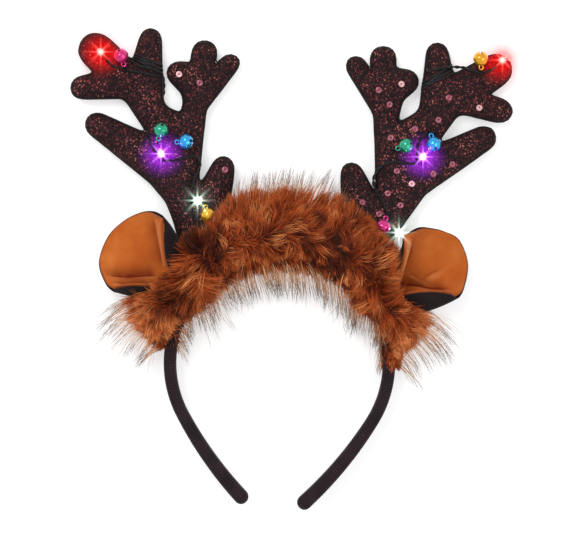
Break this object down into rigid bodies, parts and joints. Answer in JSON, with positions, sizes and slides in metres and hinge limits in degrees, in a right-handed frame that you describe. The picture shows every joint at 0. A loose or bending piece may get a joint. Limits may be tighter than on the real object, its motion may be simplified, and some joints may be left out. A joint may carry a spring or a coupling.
{
  "type": "reindeer antler headband",
  "caption": "Festive headband with padded glitter antlers, light strings and jingle bells, cupped felt ears and a deep fur trim on a cloth-covered band.",
  "frame": {"origin": "on the surface that the headband lies on, below the middle of its outline seen from the front", "axes": "+Y towards the antler tips, +X towards the right-hand antler, +Z forward, out of the face side"},
  "size_m": [0.2733, 0.2963, 0.0491],
  "materials": {
    "band_cloth": "matte dark brown woven cloth",
    "fur": "long rust brown pile with dark roots and golden tips",
    "glitter_mesh": "dark mesh with copper, red and pink glitter and scattered sequins",
    "ear_felt": "short-napped light brown felt",
    "ear_backing": "dark brown felt",
    "wire_cover": "black insulated wire",
    "bulb_red": "clear red bulb, lit",
    "bulb_purple": "clear purple bulb, lit",
    "bulb_white": "clear cool white bulb, lit",
    "bell_pink": "pink metallic lacquer",
    "bell_green": "green metallic lacquer",
    "bell_blue": "blue metallic lacquer",
    "bell_yellow": "gold metallic lacquer"
  },
  "bodies": {
    "root": {"headband": "band_cloth", "fur_trim": "fur", "antler_left": "glitter_mesh", "antler_right": "glitter_mesh", "ear_front_left": "ear_felt", "ear_front_right": "ear_felt", "ear_back_left": "ear_backing", "ear_back_right": "ear_backing", "light_wire_left": "wire_cover", "light_wire_right": "wire_cover", "led_red_left": "bulb_red", "led_red_right": "bulb_red", "led_purple_left": "bulb_purple", "led_purple_right": "bulb_purple", "led_white_left": "bulb_white", "led_white_right": "bulb_white", "bell_pink_left": "bell_pink", "bell_pink_right": "bell_pink", "bell_green_left": "bell_green", "bell_green_right": "bell_green", "bell_blue_left": "bell_blue", "bell_blue_right": "bell_blue", "bell_yellow_left": "bell_yellow", "bell_yellow_right": "bell_yellow"}
  },
  "joints": []
}
